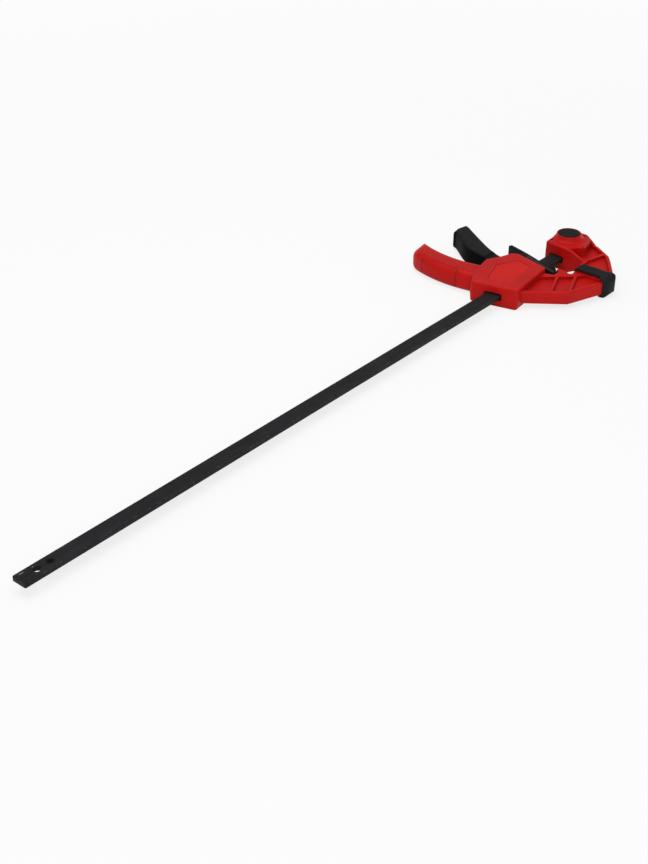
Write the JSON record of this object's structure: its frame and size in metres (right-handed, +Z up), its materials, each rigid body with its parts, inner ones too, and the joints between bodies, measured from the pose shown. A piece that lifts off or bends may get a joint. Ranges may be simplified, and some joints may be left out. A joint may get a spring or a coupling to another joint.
{
  "type": "quick release bar clamp",
  "caption": "One-handed bar clamp: flat steel bar, ribbed fixed jaw with release button, sliding jaw with grip, trigger and release lever.",
  "frame": {"origin": "centre of the hanging hole near the bar's free end, on the bar's middle plane", "axes": "+X along the bar towards the fixed jaw, +Y towards the grip, +Z up, away from the flat underside that the clamp lies on"},
  "size_m": [0.6284, 0.164, 0.0266],
  "materials": {
    "bar_steel": "satin black oxide",
    "jaw_nylon": "moulded glass-filled nylon, red",
    "badge_plastic": "moulded, red, bare",
    "grip_rubber": "soft overmould, red",
    "black_nylon": "moulded glass-filled nylon, black",
    "pad_rubber": "soft moulded pad, dark grey",
    "plate_steel": "zinc plated",
    "screw_steel": "black zinc",
    "spring_steel": "drawn wire"
  },
  "bodies": {
    "bar": {"bar": "bar_steel", "fixed_jaw": "jaw_nylon", "fixed_jaw_pad": "pad_rubber", "jaw_base_plate": "plate_steel", "button_spring": "spring_steel"},
    "button": {"release_button": "black_nylon", "stud_carrier": "plate_steel", "lock_stud": "plate_steel"},
    "housing": {"housing_top_shell": "jaw_nylon", "housing_bottom_shell": "jaw_nylon", "badge_plate": "badge_plastic", "grip_pad": "grip_rubber", "moving_jaw_pad": "pad_rubber", "housing_screws": "screw_steel", "trigger_pin": "plate_steel", "drive_spring": "spring_steel", "brake_spring": "spring_steel"},
    "trigger": {"trigger": "black_nylon"},
    "drive": {"drive_plate_front": "plate_steel", "drive_plate_rear": "plate_steel"},
    "brake": {"brake_plate": "plate_steel", "release_lever": "black_nylon"}
  },
  "joints": [
    {"name": "jaw_slide", "type": "slide", "parent": "bar", "child": "housing", "axis": [-1, 0, 0], "range_m": [0, 0.45]},
    {"name": "trigger_squeeze", "type": "hinge", "parent": "housing", "child": "trigger", "pos_m": [0.53, -0.0093, 0], "axis": [0, 0, 1], "range_deg": [0, 12], "stiffness_Nm_per_rad": 0.6, "springref_deg": -8.59},
    {"name": "drive_stroke", "type": "slide", "parent": "housing", "child": "drive", "axis": [-1, 0, 0], "range_m": [0, 0.0045], "deforming": ["drive_spring"]},
    {"name": "brake_release", "type": "hinge", "parent": "housing", "child": "brake", "pos_m": [0.54243, -0.01976, 0], "axis": [0, 0, 1], "range_deg": [0, 8], "stiffness_Nm_per_rad": 0.8, "springref_deg": -8.59, "deforming": ["brake_spring"]},
    {"name": "button_press", "type": "slide", "parent": "bar", "child": "button", "axis": [0, 0, -1], "range_m": [0, 0.0033], "stiffness_N_per_m": 600, "springref_m": -0.002, "deforming": ["button_spring"]}
  ],
  "couplings": [
    {"joint": "drive_stroke", "follows": "trigger_squeeze", "m_per_rad": 0.0208}
  ]
}
